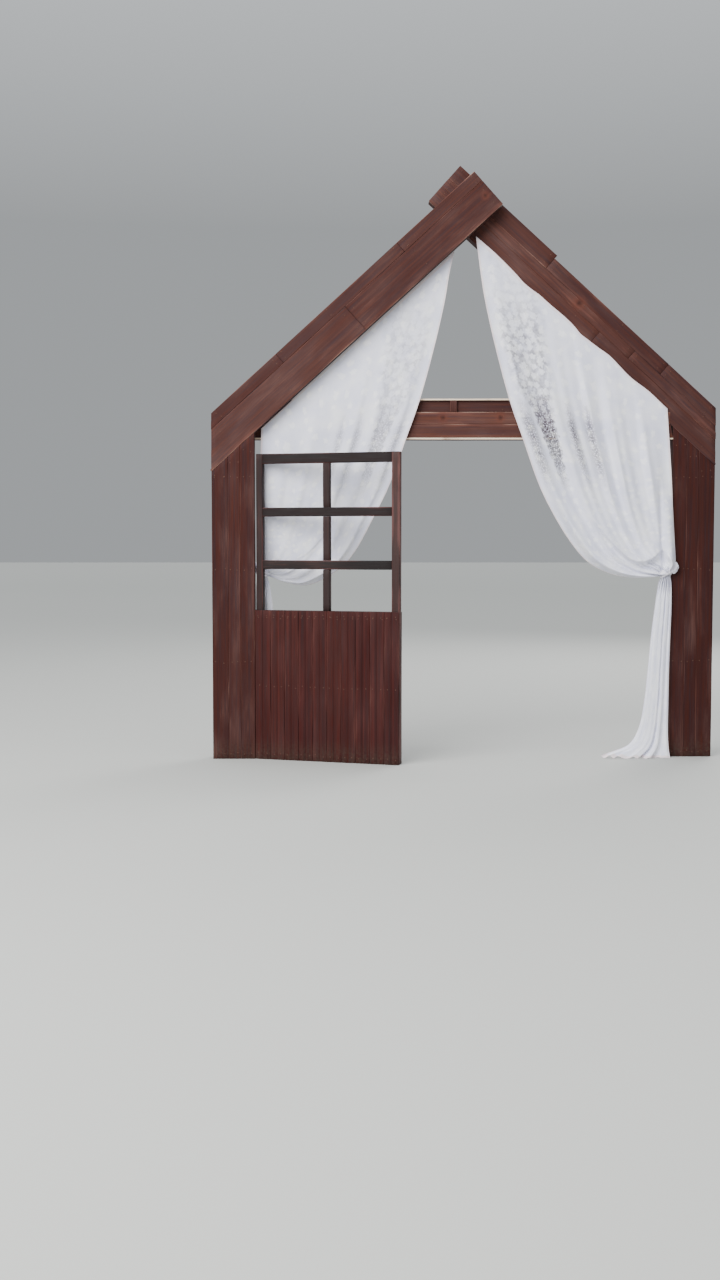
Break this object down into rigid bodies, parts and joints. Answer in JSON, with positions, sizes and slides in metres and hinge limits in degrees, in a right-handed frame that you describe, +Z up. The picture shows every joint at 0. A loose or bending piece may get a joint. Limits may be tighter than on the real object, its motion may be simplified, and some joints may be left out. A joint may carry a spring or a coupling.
{
  "type": "wooden garden wedding arch with window panel and drapes",
  "caption": "Gable-shaped free-standing arch of dark stained boards, with a tie beam, tied-back lace drapes and an old window panel on a boarded base in the opening.",
  "frame": {"origin": "on the ground, under the middle of the whole object's box; the arch's lap plane lies 150 mm behind it", "axes": "+Z up; the arch faces -Y; +X is to the right seen from the front"},
  "size_m": [3.38, 0.5196, 3.9542],
  "materials": {
    "stained_boards": "dark red-brown stain, dull, weathered",
    "window_timber": "old dark stain, worn at the edges",
    "base_boards": "dark stain over rough-sawn grooved boards",
    "lace": "sheer white net with woven lace bands"
  },
  "bodies": {
    "root": {"left_post_front_boards": "stained_boards", "left_post_back_boards": "stained_boards", "left_post_inner_board": "stained_boards", "left_post_outer_board": "stained_boards", "left_rafter_front_boards": "stained_boards", "left_rafter_back_boards": "stained_boards", "left_rafter_top_board": "stained_boards", "left_rafter_bottom_board": "stained_boards", "left_rafter_peak_end": "stained_boards", "left_rafter_foot_end": "stained_boards", "right_post_front_boards": "stained_boards", "right_post_back_boards": "stained_boards", "right_post_inner_board": "stained_boards", "right_post_outer_board": "stained_boards", "right_rafter_front_boards": "stained_boards", "right_rafter_back_boards": "stained_boards", "right_rafter_top_board": "stained_boards", "right_rafter_bottom_board": "stained_boards", "right_rafter_peak_end": "stained_boards", "right_rafter_foot_end": "stained_boards", "tie_beam_top_board": "stained_boards", "tie_beam_bottom_board": "stained_boards", "tie_beam_back_boards": "stained_boards", "tie_beam_lower_board": "stained_boards", "tie_beam_middle_board": "stained_boards", "tie_beam_recessed_board": "stained_boards", "tie_beam_spacer": "stained_boards", "window_left_stile": "window_timber", "window_right_stile": "window_timber", "window_top_rail": "window_timber", "window_upper_rail": "window_timber", "window_lower_rail": "window_timber", "window_sill": "window_timber", "window_mullion_low": "window_timber", "window_mullion_middle": "window_timber", "window_mullion_high": "window_timber", "base_front_boards": "base_boards", "base_back_boards": "base_boards", "base_packing_strip": "base_boards", "left_drape_swag": "lace", "left_drape_tieback": "lace", "left_drape_tail": "lace", "right_drape_swag": "lace", "right_drape_tieback": "lace", "right_drape_tail": "lace"}
  },
  "joints": []
}
